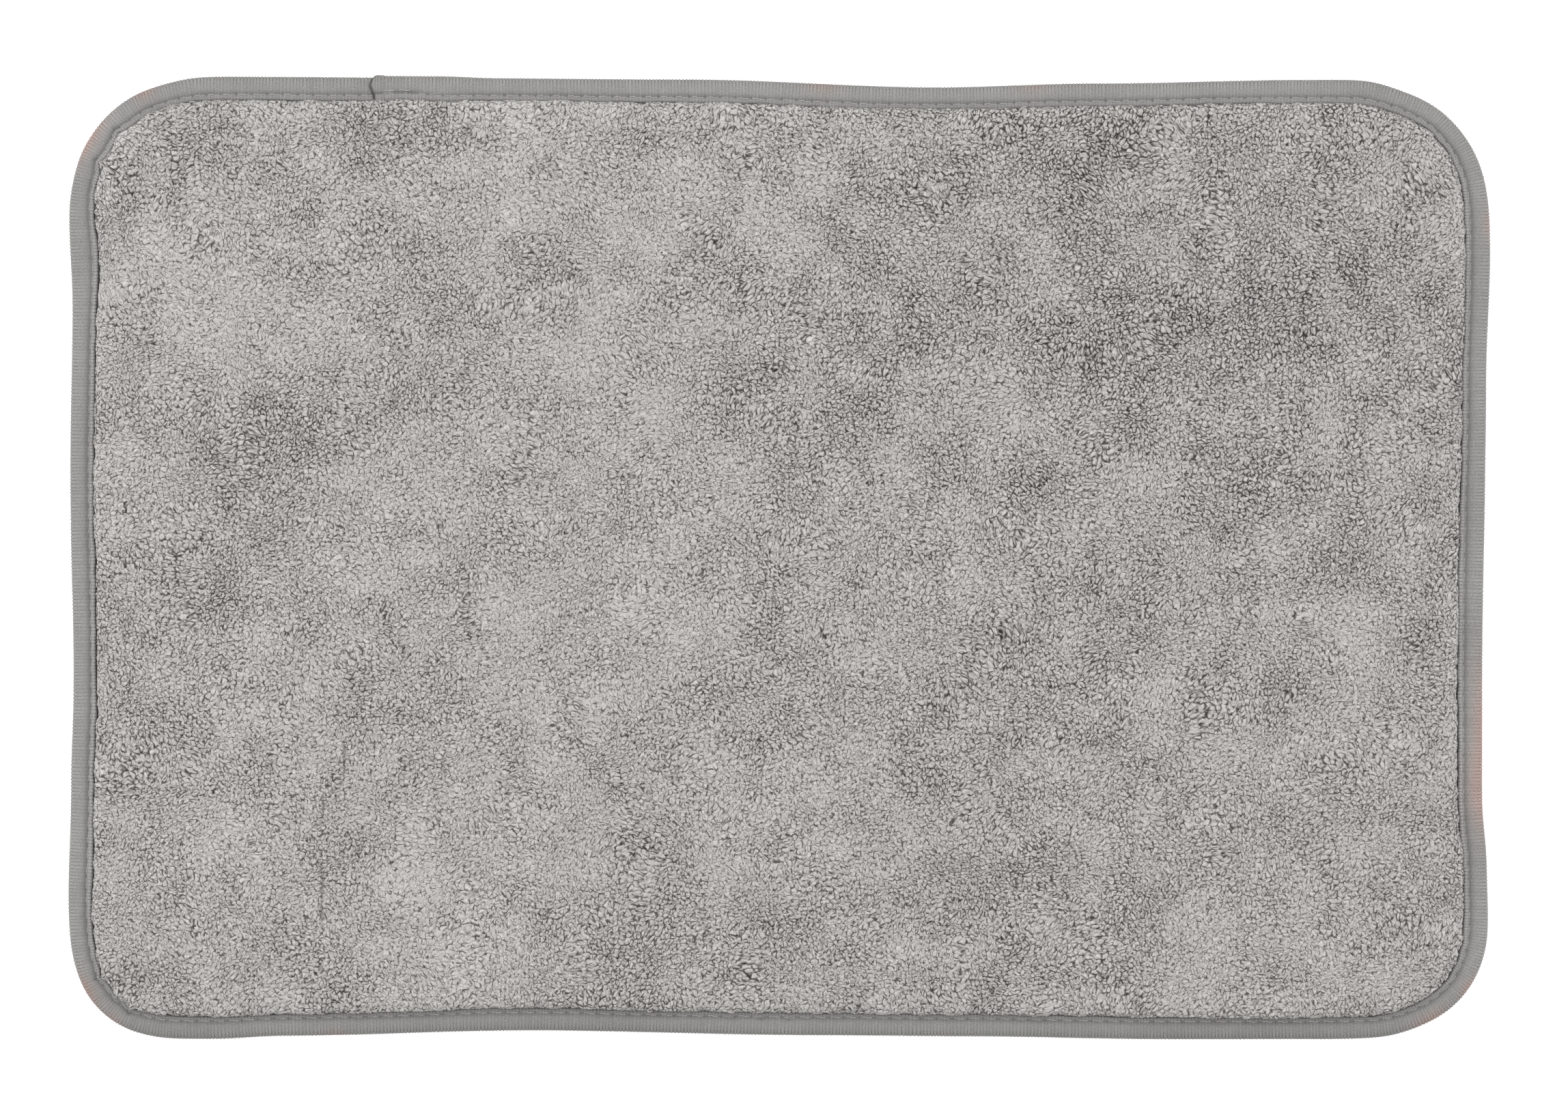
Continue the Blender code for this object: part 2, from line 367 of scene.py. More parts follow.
def stand_in(node):
    """Hides the CAD node that the piece stands in for."""
    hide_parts(node)


def ring_places(step):
    """Places round the edge for a layer, in four even runs that start at the corners' middles."""
    columns = int(round(2 * HALF_LENGTH / step))
    rows = int(round(2 * HALF_WIDTH / step))
    near_left = place_facing(-1, -1)
    ends = (
        near_left, place_facing(1, -1), place_facing(1, 1), place_facing(-1, 1) + TURN,
        near_left + TURN)
    places = np.concatenate([
        np.linspace(start, end, count, endpoint=False)
        for start, end, count in zip(ends, ends[1:], (columns, rows, columns, rows))])
    return places, columns, rows


def ring_sides(ring, columns, rows):
    """A ring's near, right, far and left sides, each from the left or from the near side."""
    closed = np.concatenate([ring, ring[:1]])
    far_right = columns + rows
    far_left = far_right + columns
    return (
        closed[: columns + 1], closed[columns: far_right + 1],
        closed[far_right: far_left + 1][::-1], closed[far_left:][::-1])


def fill_ring(ring, columns, rows):
    """A grid that fills a ring: the places of its points, with the ring's own on its border."""
    near, right, far, left = ring_sides(ring, columns, rows)
    u = np.linspace(0, 1, columns + 1)[None, :, None]
    v = np.linspace(0, 1, rows + 1)[:, None, None]
    sides = (1 - v) * near[None] + v * far[None] + (1 - u) * left[:, None] + u * right[:, None]
    corners = (
        (1 - u) * (1 - v) * near[0] + u * (1 - v) * near[-1]
        + (1 - u) * v * far[0] + u * v * far[-1])
    return sides - corners


def grid_numbers(ring_numbers, columns, rows, first_free):
    """The point numbers of such a grid, where its border takes the ring's."""
    numbers = np.empty((rows + 1, columns + 1), dtype=np.int64)
    numbers[0], numbers[:, -1], numbers[-1], numbers[:, 0] = ring_sides(ring_numbers, columns, rows)
    numbers[1:-1, 1:-1] = first_free + np.arange((rows - 1) * (columns - 1)).reshape(
        rows - 1, columns - 1)
    return numbers


def grid_faces(numbers):
    faces = np.stack([numbers[:-1, :-1], numbers[:-1, 1:], numbers[1:, 1:], numbers[1:, :-1]], -1)
    return faces.reshape(-1, 4)


def ring_faces(numbers):
    """The four-sided faces between closed rings of points, each a row of their numbers."""
    return grid_faces(np.concatenate([numbers, numbers[:, :1]], 1))


def layer_shape(profile, step, filled_below, drawn=None):
    """A soft layer's points, their outward directions, where each lies on the layer's unrolled
    face, and its faces. The underside's middle is a grid too, or only a fan of long triangles.
    drawn gives how much further in each place of the rim lies."""
    places, columns, rows = ring_places(step)
    edge, inward = on_outline(places)
    moved = np.zeros((len(edge), 1)) if drawn is None else drawn(places)[:, None]
    normals = profile_normals(profile)
    normals[-1] = (0, 1)
    normals[0] = (0, -1) if filled_below else normals[0]
    reach = reach_along(profile)
    unrolled = profile[-1, 0] - (reach[-1] - reach)

    def ring(inset, height):
        share = 1 - smoothstep(RIM_INSET, RIM_INSET + RIM_FADE, inset)
        flat = edge + inward * (inset + moved * share)
        return np.concatenate([flat, np.full((len(flat), 1), height)], 1)

    points = [ring(inset, height) for inset, height in profile]
    directions = [
        np.concatenate([inward * n_inset, np.full((len(inward), 1), n_height)], 1)
        for n_inset, n_height in normals]
    spread = [edge + inward * inset for inset in unrolled]
    count = len(edge)
    numbers = np.arange(count * len(profile)).reshape(-1, count)
    faces = [ring_faces(numbers)]

    def add_grid(ring_number, up):
        first_free = sum(len(p) for p in points)
        grid = grid_numbers(numbers[ring_number], columns, rows, first_free)
        inner = fill_ring(points[ring_number][:, :2], columns, rows)[1:-1, 1:-1].reshape(-1, 2)
        height = profile[ring_number, 1]
        points.append(np.concatenate([inner, np.full((len(inner), 1), height)], 1))
        directions.append(np.tile([0.0, 0.0, up], (len(inner), 1)))
        spread.append(inner)
        cells = grid_faces(grid)
        faces.append(cells if up > 0 else cells[:, ::-1])

    add_grid(len(profile) - 1, 1.0)
    if filled_below:
        add_grid(0, -1.0)
    else:
        middle = sum(len(p) for p in points)
        points.append(np.array([[0.0, 0.0, profile[0, 1]]]))
        directions.append(np.array([[0.0, 0.0, -1.0]]))
        spread.append(np.zeros((1, 2)))
        first = numbers[0]
        faces.append(np.stack([first, np.full(count, middle), np.roll(first, -1)], 1))
    return (
        np.concatenate(points), np.concatenate(directions), np.concatenate(spread), faces, count)


def flat_map(spread, faces, hidden_faces):
    """A bake map straight from above, with the hidden faces drawn together in its corner."""
    span = 2 * (HALF_LENGTH + MAP_MARGIN)
    uv = spread / span + 0.5
    corners = np.concatenate([group.ravel() for group in faces])
    mapped = uv[corners]
    hidden = np.concatenate([
        np.full(group.size, number in hidden_faces) for number, group in enumerate(faces)])
    mapped[hidden] = mapped[hidden] * HIDDEN_MAP_SHARE
    return mapped


def sweep(name, sections, material, fields, map_rows=8):
    """A closed body from sections in a row, each a ring of the same number of points, with its ends
    capped. Its bake map is the body unrolled, and cut into rows."""
    count, across = sections.shape[:2]
    numbers = np.arange(count * across).reshape(count, across)
    row_length = -(-(count - 1) // map_rows)
    section = np.arange(count - 1)
    row, along = section // row_length, section % row_length
    u = np.stack([along, along, along + 1, along + 1], 1)[:, None, :] / row_length
    step = np.arange(across)
    v = np.stack([step, step + 1, step + 1, step], 1)[None] / across * MAP_ROW_FILL
    v = (v + row[:, None, None]) / map_rows
    quad_map = np.stack(np.broadcast_arrays(u, v), -1).reshape(-1, 2)
    caps = [numbers[:1, ::-1], numbers[-1:]]
    cap_map = np.zeros((2 * across, 2))
    return mesh_object(
        name, sections.reshape(-1, 3), [ring_faces(numbers), *caps], material,
        {field: values.reshape(count * across, -1).squeeze() for field, values in fields.items()},
        np.concatenate([quad_map, cap_map]))


# ---------------- materials

class Graph:
    """A material's nodes, made and linked by name."""

    def __init__(self, name, roughness, **constants):
        self.material = bpy.data.materials.new(name)
        self.material.use_nodes = True
        self.tree = self.material.node_tree
        self.shader = self.tree.nodes["Principled BSDF"]
        self.shader.inputs["Roughness"].default_value = roughness
        for socket, value in constants.items():
            self.shader.inputs[socket.replace("_", " ")].default_value = value

    def add(self, kind, inputs=None, **settings):
        node = self.tree.nodes.new(kind)
        for setting, value in settings.items():
            setattr(node, setting, value)
        for socket, value in (inputs or {}).items():
            if isinstance(value, bpy.types.NodeSocket):
                self.tree.links.new(value, node.inputs[socket])
            else:
                node.inputs[socket].default_value = value
        return node

    def math(self, operation, *values):
        return self.add("ShaderNodeMath", dict(enumerate(values)), operation=operation).outputs[0]

    def times(self, first, *others):
        """The product of numbers."""
        for other in others:
            first = self.math("MULTIPLY", first, other)
        return first

    def darkened(self, amount, depth):
        """What is left of 1 where a depth is taken off by an amount."""
        return self.math("SUBTRACT", 1.0, self.times(amount, depth))

    def spread(self, value, low, high, to_low, to_high, kind="LINEAR"):
        """A value moved from one range to another."""
        return self.add("ShaderNodeMapRange", {
            "Value": value, "From Min": low, "From Max": high, "To Min": to_low, "To Max": to_high},
            interpolation_type=kind).outputs["Result"]

    def fade(self, value, low, high, to_low=0.0, to_high=1.0):
        """The same, but eased at both ends of the range."""
        return self.spread(value, low, high, to_low, to_high, "SMOOTHSTEP")

    def field(self, name, output="Fac"):
        return self.add("ShaderNodeAttribute", attribute_name=name).outputs[output]

    def place(self, scale=(1.0, 1.0, 1.0), vector=None):
        vector = vector or self.add("ShaderNodeTexCoord").outputs["Object"]
        return self.add(
            "ShaderNodeVectorMath", {0: vector, 1: scale}, operation="MULTIPLY").outputs[0]

    def noise(self, vector, size, detail=2.0, roughness=0.5):
        """Noise whose spots are about a size across, in the vector's own unit."""
        return self.add("ShaderNodeTexNoise", {
            "Vector": vector, "Scale": 1.0 / size, "Detail": detail,
            "Roughness": roughness}).outputs["Fac"]

    def cells(self, vector, size, feature):
        return self.add("ShaderNodeTexVoronoi", {
            "Vector": vector, "Scale": 1.0 / size}, voronoi_dimensions="2D", feature=feature)

    def shake(self, vector, size, reach):
        """A vector moved to and fro by noise."""
        noise = self.add("ShaderNodeTexNoise", {
            "Vector": vector, "Scale": 1.0 / size, "Detail": 1.0}).outputs["Color"]
        return self.add("ShaderNodeVectorMath", {
            0: noise, 1: (reach, reach, 0.0), 2: vector}, operation="MULTIPLY_ADD").outputs[0]

    def tint(self, colour, amount):
        """A colour made lighter or darker by a number."""
        return self.add(
            "ShaderNodeVectorMath", {0: colour, "Scale": amount}, operation="SCALE").outputs[0]

    def mix(self, amount, first, second):
        return self.add(
            "ShaderNodeMix", {"Factor": amount, "A": first, "B": second},
            data_type="RGBA").outputs["Result"]

    def finish(self, colour, height, distance, strength=1.0):
        self.tree.links.new(colour, self.shader.inputs["Base Color"])
        relief = self.add("ShaderNodeBump", {
            "Height": height, "Distance": distance * MM, "Strength": strength})
        self.tree.links.new(relief.outputs["Normal"], self.shader.inputs["Normal"])
        return self.material


def pile_material():
    """Microfibre, whose fibres cling together in small clumps with dark cracks between them. The clumps
    are those of the mesh's relief, and the finest cracks and the fibres are only here. The cracks'
    darkness is painted shade, which turns warmer where it is deepest, and the clumps' rims carry a
    painted highlight."""
    graph = Graph("pile_fleece", 0.95, Sheen_Weight=0.10, Sheen_Roughness=0.5, Specular_IOR_Level=0.12)
    place = graph.field("place", "Vector")
    loose = graph.field("loose")
    clump_edge = graph.cells(place, CLUMP_SIZE, "DISTANCE_TO_EDGE").outputs["Distance"]
    shaken = graph.shake(place, 0.7, 0.5)
    tuft_edge = graph.cells(shaken, TUFT_SIZE, "DISTANCE_TO_EDGE").outputs["Distance"]
    clump_tone = graph.cells(place, CLUMP_SIZE, "F1").outputs["Color"]
    tuft_tone = graph.cells(shaken, TUFT_SIZE, "F1").outputs["Color"]
    width = graph.times(
        graph.spread(graph.noise(place, 1.8, 1.0), 0.35, 0.65, 0.6, 1.7),
        graph.spread(loose, 0.2, 0.9, 0.95, 1.7))
    clump_gap = graph.math("DIVIDE", graph.times(clump_edge, CLUMP_SIZE), width)
    tuft_gap = graph.math("DIVIDE", graph.times(tuft_edge, TUFT_SIZE), width)

    open_share = graph.math(
        "ADD", graph.noise(place, 1.6, 1.0), graph.spread(loose, 0.1, 0.9, -0.06, 0.12))
    patchy = graph.spread(open_share, 0.42, 0.60, 0.08, 1.0)
    clump_depth = graph.times(patchy, graph.spread(loose, 0.1, 0.9, 0.70, 0.97))
    # Painted shade: the cracks between the clumps and between the tufts are darkened, the more where
    # they are deep.
    clump_crack_shade = graph.fade(clump_gap, 0.02, 0.30, 1.0, 0.0)
    tuft_depth = graph.times(
        graph.spread(graph.noise(shaken, 1.4, 1.0), 0.44, 0.60, 0.0, 1.0),
        graph.spread(loose, 0.1, 0.9, 0.50, 0.80))
    tuft_crack_shade = graph.fade(tuft_gap, 0.01, 0.21, 1.0, 0.0)
    # A painted highlight along each clump's rim, just inside its crack.
    lit_rim = graph.times(
        graph.fade(clump_gap, 0.22, 0.34), graph.fade(clump_gap, 0.34, 0.60, 1.0, 0.0))

    strands = graph.noise(graph.place((0.7, 2.4, 1.0), place), 0.8, 2.0, 0.6)
    specks = graph.noise(place, 0.42, 2.0, 0.65)
    shade = graph.times(
        graph.spread(graph.math("ADD", strands, specks), 0.65, 1.35, 0.84, 1.16),
        graph.field("tone_and_shading"),
        graph.spread(clump_tone, 0.0, 1.0, 0.93, 1.07),
        graph.spread(tuft_tone, 0.0, 1.0, 0.94, 1.06),
        graph.darkened(clump_crack_shade, clump_depth),
        graph.darkened(tuft_crack_shade, tuft_depth),
        graph.spread(lit_rim, 0.0, 1.0, 1.0, 1.22))
    # Painted shade: where the shading is darkest, mostly in the painted cracks, the pile turns to a
    # warmer colour.
    shade_warmth = graph.spread(shade, 0.25, 0.85, 1.0, 0.0)
    colour = graph.mix(shade_warmth, graph.tint(PILE_COLOUR, shade), graph.tint(PILE_SHADE_COLOUR, shade))
    clump_height = graph.times(graph.fade(clump_gap, 0.0, 0.55), clump_depth)
    tuft_height = graph.times(graph.fade(tuft_gap, 0.0, 0.35, 0.0, 0.5), tuft_depth)
    height = graph.math("ADD", clump_height, tuft_height)
    height = graph.math("ADD", height, graph.times(specks, 0.22))
    return graph.finish(colour, height, 0.40, 0.8)


def tape_material():
    """Ribbed tape: its ribs are in the mesh, and their seams and the fine yarns are only here. The
    furrows between the ribs are painted with shade and the ribs' crests with a painted highlight.
    """
    graph = Graph("ribbed_tape", 0.8, Sheen_Weight=0.12, Sheen_Roughness=0.5, Specular_IOR_Level=0.2)
    weave = graph.field("weave", "Vector")
    parts = graph.add("ShaderNodeSeparateXYZ", {0: weave})
    turn = graph.times(parts.outputs["X"], math.pi)
    ridge = graph.math("ABSOLUTE", graph.math("COSINE", turn))
    furrow_shade = graph.fade(ridge, 0.0, 0.55, 1.0, 0.0)
    ribbing = graph.field("ribbing")
    yarns = graph.noise(graph.place((4.2, 1.0, 0.0), weave), 0.75, 2.0, 0.6)
    stitches = graph.noise(graph.place((2.8, 3.6, 0.0), weave), 1.0, 2.0, 0.7)
    by_rib = graph.noise(graph.place((1.0, 0.12, 0.0), weave), 1.1, 0.0)
    cloudy = graph.noise(graph.place((1.4, 1.0, 0.0), weave), 11.0, 2.0)
    furrow_shade_depth = graph.times(ribbing, graph.spread(by_rib, 0.35, 0.65, 0.55, 1.25))
    # Painted shade in the furrows and a painted highlight on the crests; the yarns, stitches and clouds
    # are the knit's own unevenness.
    shade = graph.times(
        graph.field("tone_and_shading"),
        graph.darkened(furrow_shade, furrow_shade_depth),
        graph.spread(ridge, 0.8, 1.0, 1.0, 1.10),
        graph.spread(yarns, 0.3, 0.7, 0.74, 1.26),
        graph.spread(stitches, 0.3, 0.7, 0.78, 1.22),
        graph.spread(by_rib, 0.3, 0.7, 0.95, 1.05),
        graph.spread(cloudy, 0.3, 0.7, 0.96, 1.04))
    colour = graph.mix(
        graph.field("blush"), graph.tint(TAPE_COLOUR, shade), graph.tint(BLUSH_COLOUR, shade))
    height = graph.math("ADD", graph.times(ridge, ribbing), graph.times(stitches, 0.35))
    return graph.finish(colour, height, 0.22, 0.7)


def thread_material():
    graph = Graph("sewing_thread", 0.5, Sheen_Weight=0.1, Specular_IOR_Level=0.4)
    twist = graph.field("twist")
    # Painted shade in the grooves between the two plies, and a faint painted highlight on the plies'
    # crowns.
    shade = graph.spread(twist, -1.0, 1.0, 0.75, 1.1)
    return graph.finish(graph.tint(THREAD_COLOUR, shade), twist, 0.05, 0.5)


def knit_material():
    graph = Graph("ground_knit", 0.95, Sheen_Weight=0.1)
    place = graph.place()
    loops = graph.add("ShaderNodeTexWave", {
        "Vector": place, "Scale": 160.0, "Distortion": 3.0, "Detail": 2.0,
        "Detail Scale": 2.0}).outputs["Fac"]
    fuzz = graph.noise(place, 0.6 * MM)
    shade = graph.times(
        graph.spread(loops, 0.0, 1.0, 0.7, 1.0), graph.spread(fuzz, 0.3, 0.7, 0.85, 1.1))
    return graph.finish(graph.tint(KNIT_COLOUR, shade), loops, 0.2, 0.6)


def foam_material():
    graph = Graph("foam", 0.9, Specular_IOR_Level=0.2)
    cells = graph.add("ShaderNodeTexVoronoi", {
        "Vector": graph.place(), "Scale": 1.0 / (0.9 * MM)}).outputs["Distance"]
    shade = graph.spread(cells, 0.0, 0.8, 1.0, 0.72)
    return graph.finish(graph.tint(FOAM_COLOUR, shade), cells, 0.3, 0.6)


def backing_material():
    """A plain weave: warp and weft are two crossed sets of fine waves."""
    graph = Graph("backing_fabric", 0.85, Sheen_Weight=0.15, Specular_IOR_Level=0.2)
    place = graph.place()
    warp, weft = (
        graph.add("ShaderNodeTexWave", {
            "Vector": place, "Scale": 260.0, "Distortion": 0.6, "Detail": 1.0},
            bands_direction=direction).outputs["Fac"]
        for direction in "XY")
    weave = graph.times(warp, weft)
    slub = graph.noise(graph.place((1.0, 6.0, 1.0)), 8.0 * MM, 3.0)
    shade = graph.times(
        graph.spread(weave, 0.0, 1.0, 0.75, 1.15), graph.spread(slub, 0.3, 0.7, 0.92, 1.08))
    return graph.finish(graph.tint(BACKING_COLOUR, shade), weave, 0.15, 0.7)


def dots_material():
    graph = Graph("anti_slip_pvc", 0.42, Specular_IOR_Level=0.5)
    skin = graph.noise(graph.place(), 0.5 * MM, 2.0)
    wear = graph.noise(graph.place(), 60.0 * MM, 2.0)
    shade = graph.spread(wear, 0.3, 0.7, 0.8, 1.25)
    return graph.finish(graph.tint(DOTS_COLOUR, shade), skin, 0.04, 0.4)


def floor_material():
    graph = Graph("floor", 0.9, Specular_IOR_Level=0.1)
    graph.shader.inputs["Base Color"].default_value = FLOOR_COLOUR
    graph.shader.inputs["Emission Color"].default_value = WHITE
    graph.shader.inputs["Emission Strength"].default_value = FLOOR_GLOW
    return graph.material


# ---------------- the pile

# Broad patches where the pile lies closed and light (+) or stands open and dark (-), as (x, y, radius,
# strength). The darkness of open pile is painted shade, and its painted cracks are wider and darker.
PATCHES = (
    (-270, 100, 42, 0.4), (-78, 118, 45, 0.4), (-233, 106, 26, 0.5), (-155, 33, 30, 0.3),
    (-40, 33, 30, 0.5), (-95, -20, 42, 0.8), (-160, -120, 60, 0.45), (265, -45, 34, 0.6),
    (115, 178, 34, -0.7), (-2, 70, 32, -0.3), (60, 106, 30, -0.6), (154, 88, 34, -0.4),
    (200, 106, 30, -0.7), (-233, 33, 28, -0.4), (192, -3, 34, -0.5), (103, -40, 30, -0.6),
    (144, 0, 26, 0.4), (115, -147, 36, -0.4), (20, 50, 24, 0.4), (250, -128, 34, 0.2),
    (-185, 160, 26, -0.4), (-75, -130, 30, 0.3),
)
# Creases where the mat was folded, as (x, y at the bottom, y at the top). They are sunk in the relief
# and painted with shade.
CREASES = ((-192.5, -156, -128), (-183, -92, -78), (-192, -110, -100))
# How brushing has moved the clumps, as (how wide a swirl is, how far it moves them).
SWIRLS = ((24, 3.4), (9, 1.3), (2.3, 0.45), (1.1, 0.28))
CLUMP_SIZE = 1.85
TUFT_SIZE = 1.05
GROUP_SIZE = 5.5


def openness(x, y):
    """How far the clumps stand apart, from 0 where the pile is brushed closed to 1."""
    lean = 0.45 + 0.09 * smoothstep(-150, 200, x) * smoothstep(-110, 130, y)
    spots = 0.15 * cloud(x, y, 30, 21, 2) + 0.20 * cloud(x, y, 11, 24, 2)
    patches = sum(strength * bump(np.hypot(x - px, y - py), radius)
                  for px, py, radius, strength in PATCHES)
    return np.clip(lean + spots - 0.19 * patches, 0.0, 1.0)


def nap_place(x, y):
    """Where each place lies on the unbrushed pile: brushing has drawn the clumps out in swirls."""
    def moved(value, seed):
        for i, (size, reach) in enumerate(SWIRLS):
            value = value + reach * grain(x, y, size, seed + i)
        return value

    return np.stack([moved(x, 31), moved(y, 41), 0 * x], 1)


def cell_fields(place, size):
    """How far each place is from the edge of its Voronoi cell, and a number for the cell. They come
    from the node that the pile's material also uses, so that the relief and the colours agree."""
    mesh = bpy.data.meshes.new("cells")
    mesh.vertices.add(len(place))
    mesh.attributes.new("place", "FLOAT_VECTOR", "POINT").data.foreach_set(
        "vector", place.astype(np.float32).ravel())
    holder = linked("cells", mesh)
    tree = bpy.data.node_groups.new("cells", "GeometryNodeTree")
    for way in ("INPUT", "OUTPUT"):
        tree.interface.new_socket("Geometry", in_out=way, socket_type="NodeSocketGeometry")
    geometry = tree.nodes.new("NodeGroupInput").outputs[0]
    read = tree.nodes.new("GeometryNodeInputNamedAttribute")
    read.data_type = "FLOAT_VECTOR"
    read.inputs["Name"].default_value = "place"
    for field, feature, output in (("edge", "DISTANCE_TO_EDGE", "Distance"), ("own", "F1", "Color")):
        cell = tree.nodes.new("ShaderNodeTexVoronoi")
        cell.voronoi_dimensions = "2D"
        cell.feature = feature
        cell.inputs["Scale"].default_value = 1.0 / size
        tree.links.new(read.outputs["Attribute"], cell.inputs["Vector"])
        store = tree.nodes.new("GeometryNodeStoreNamedAttribute")
        store.data_type = "FLOAT"
        store.domain = "POINT"
        store.inputs["Name"].default_value = field
        tree.links.new(geometry, store.inputs["Geometry"])
        tree.links.new(cell.outputs[output], store.inputs["Value"])
        geometry = store.outputs["Geometry"]
    tree.links.new(geometry, tree.nodes.new("NodeGroupOutput").inputs[0])
    holder.modifiers.new("cells", "NODES").node_group = tree
    result = holder.evaluated_get(bpy.context.evaluated_depsgraph_get()).data
    fields = []
    for field in ("edge", "own"):
        values = np.empty(len(place), np.float32)
        result.attributes[field].data.foreach_get("value", values)
        fields.append(values)
    bpy.data.objects.remove(holder)
    bpy.data.meshes.remove(mesh)
    bpy.data.node_groups.remove(tree)
    return fields[0] * size, 2 * fields[1] - 1


def pile_relief(x, y):
    """The pile's relief in mm, and what its material reads: how light or dark it is, with painted shade
    where it stands open, in the cracks between groups of clumps and in the creases; how loose it stands;
    and its unbrushed places."""
    x, y = x.astype(np.float32), y.astype(np.float32)
    loose = openness(x, y)
    place = nap_place(x, y)
    clump_gap, clump_own = cell_fields(place, CLUMP_SIZE)
    group_gap, group_own = cell_fields(place + (31.0, 17.0, 0.0), GROUP_SIZE)
    group_crack = bump(group_gap, 0.42) * smoothstep(-0.1, 0.6, grain(x, y, 11, 57))
    crease = sum(
        bump(x - cx - 0.8 * grain(x, y, 5, 51), 0.7) * smoothstep(low - 3, low + 3, y)
        * (1 - smoothstep(high - 3, high + 3, y))
        for cx, low, high in CREASES)
    relief = (
        (0.14 + 0.34 * loose) * smoothstep(0.0, 0.6, clump_gap)
        + (0.03 + 0.12 * loose) * clump_own
        + (0.04 + 0.14 * loose) * group_own
        - (0.05 + 0.28 * loose) * group_crack
        - 0.7 * crease
        + 0.45 * cloud(x, y, 45, 55, 2)
        + 0.20 * grain(x, y, 13, 58))
    # Painted shade: darker where the pile stands open, in the cracks between groups of clumps and in the
    # creases; the cloud is a random unevenness of its colour.
    tone_and_shading = (
        (1.03 - 0.10 * loose)
        * (1 + 0.03 * cloud(x, y, 60, 59, 3))
        * (1 - (0.03 + 0.22 * loose) * group_crack)
        * (1 - 0.4 * np.clip(crease, 0, 1)))
    return relief, tone_and_shading, loose, place


def pile_edge_draw(place):
    """The pile leaves a narrow crevice beside the tape, mostly along the short sides."""
    crevice = by_side(place, -0.1, 0.45, -0.1, 0.35) + 0.35 * wander(place, 2.5, 95)
    return inner_edge_draw(place) + crevice


def make_pile():
    profile = curve_through(PILE_PROFILE, 34)
    points, directions, spread, faces, count = layer_shape(
        profile, PILE_STEP, filled_below=False, drawn=pile_edge_draw)
    relief, tone_and_shading, loose, place = pile_relief(spread[:, 0], spread[:, 1])
    ring = np.minimum(np.arange(len(points)) // count, len(profile))
    relief = relief * smoothstep(1, 9, ring.astype(float))
    relief[-1] = 0.0
    # Painted shade: the pile darkens down its rim towards the tape.
    tone_and_shading = tone_and_shading * (0.55 + 0.45 * smoothstep(4, 12, ring.astype(float)))
    points = points + directions * relief[:, None]
    pile = mesh_object(
        "pile_fleece", points, faces, pile_material(), {"tone_and_shading": tone_and_shading, "loose": loose, "place": place},
        flat_map(spread, faces, {len(faces) - 1}))
    stand_in("pile")


# ---------------- the inner layers

def make_layer(name, profile, node, material, swell, seed):
    """A thin layer, whose faces swell and dip a little."""
    profile = np.array(profile, dtype=float)
    points, directions, spread, faces, _ = layer_shape(profile, LAYER_STEP, filled_below=True)
    points[:, 2] += cloud(spread[:, 0], spread[:, 1], 30, seed, 2) * swell
    piece = mesh_object(name, points, faces, material)
    stand_in(node)
    return piece


def make_inner_layers():
    foam = make_layer("foam_sheet", FOAM_PROFILE, "foam_core", foam_material(), 0.05, 61)
    ground = make_layer(
        "knit_ground", GROUND_PROFILE, "pile_ground", knit_material(), 0.05, 62)
    backing = make_layer(
        "backing_cloth", BACKING_PROFILE, "backing_fabric", backing_material(),
        0.08, 63)


def make_dots():
    """The printed dots: low domes with flat feet, in staggered rows."""
    rise = DOT_PITCH * math.sqrt(3) / 2
    rows = int(HALF_WIDTH / rise)
    columns = int(HALF_LENGTH / DOT_PITCH)
    row, column = np.meshgrid(
        np.arange(-rows, rows + 1), np.arange(-columns, columns + 1), indexing="ij")
    x = ((column + 0.5 * (row % 2)) * DOT_PITCH).ravel()
    y = (row * rise).ravel()
    limit, _ = on_outline(np.arange(0, TURN, 4.0))
    clearance = np.min(np.hypot(x[:, None] - limit[:, 0], y[:, None] - limit[:, 1]), axis=1)
    inside = (np.abs(x) < HALF_LENGTH) & (np.abs(y) < HALF_WIDTH) & (clearance > DOTS_INSET)
    rng = np.random.default_rng(71)
    x, y = x[inside], y[inside]
    size = DOT_RADIUS * rng.uniform(0.92, 1.08, len(x))
    turn = np.arange(DOT_SIDES) * 2 * math.pi / DOT_SIDES
    rings = ((0.62, 0.0), (0.86, 0.14), (1.0, 0.45), (1.0, DOTS_TOP + 0.25))
    points = np.stack([
        np.stack([
            x[:, None] + size[:, None] * share * np.cos(turn),
            y[:, None] + size[:, None] * share * np.sin(turn),
            np.full((len(x), DOT_SIDES), height)], -1)
        for share, height in rings], 1)
    numbers = np.arange(points[..., 0].size).reshape(points.shape[:3])
    nxt = np.roll(numbers, -1, 2)
    sides = np.stack([numbers[:, :-1], nxt[:, :-1], nxt[:, 1:], numbers[:, 1:]], -1).reshape(-1, 4)
    feet = numbers[:, 0, ::-1]
    tops = numbers[:, -1]
    dots = mesh_object(
        "anti_slip_dot_print", points.reshape(-1, 3), [sides, feet, tops], dots_material())
    stand_in("anti_slip_dots")


# ---------------- the tape and the seam

def lap_lift(place):
    """How far the tape stands off where it laps over its own start. A place past one turn is on
    the lap."""
    return LAP_LIFT * smoothstep(TURN - RAMP_LENGTH, TURN, place)


def near_stitch(place):
    """How far a place is from the nearest needle hole along the seam."""
    return (place + 0.5 * STITCH_PITCH) % STITCH_PITCH - 0.5 * STITCH_PITCH


def away_from(place, x, y):
    """How far each place is along the edge from the one nearest to a point."""
    return (place - place_near(x, y) + TURN / 2) % TURN - TURN / 2


